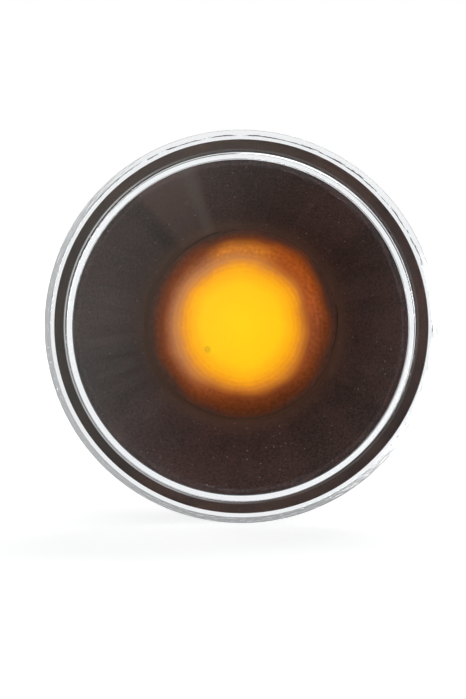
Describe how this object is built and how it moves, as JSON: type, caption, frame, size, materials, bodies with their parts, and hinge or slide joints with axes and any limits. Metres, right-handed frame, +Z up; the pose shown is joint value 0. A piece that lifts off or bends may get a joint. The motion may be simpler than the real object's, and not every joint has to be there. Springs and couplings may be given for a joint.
{
  "type": "side repeater lamp",
  "caption": "Round push-in side repeater lamp: clear stepped lens, black conical dish and funnel, amber cap over the bulb, snap arms and a twist-lock bulb holder with a plug shroud.",
  "frame": {"origin": "centre of the panel hole, in the plane of the panel's outer face, where the gasket seats", "axes": "+Y runs rearwards along the lamp's axis into the car's body, the lens looks along -Y, and +Z is up"},
  "size_m": [0.048, 0.0492, 0.048],
  "materials": {
    "clear_polycarbonate": "clear moulded polycarbonate, polished",
    "black_rubber": "moulded, matt",
    "black_abs": "moulded, finely textured",
    "amber_polycarbonate": "moulded, translucent amber, lit from inside",
    "grey_nylon": "moulded, glass-filled",
    "seal_rubber": "moulded, matt",
    "brass": "stamped strip",
    "bulb_glass": "blown and pinched",
    "tungsten": "drawn wire, coiled, glowing",
    "nickel_wire": "drawn wire"
  },
  "bodies": {
    "lamp": {"lens": "clear_polycarbonate", "gasket": "black_rubber", "housing": "black_abs", "amber_cap": "amber_polycarbonate"},
    "bulb_unit": {"bulb_holder": "grey_nylon", "holder_seal": "seal_rubber", "contact_left": "brass", "contact_right": "brass", "bulb_glass": "bulb_glass", "filament": "tungsten", "lead_wire_left": "nickel_wire", "lead_wire_right": "nickel_wire"}
  },
  "joints": [
    {"name": "bulb_holder_twist", "type": "hinge", "parent": "lamp", "child": "bulb_unit", "pos_m": [0, 0.0245, 0], "axis": [0, 1, 0], "range_deg": [0, 45]}
  ]
}
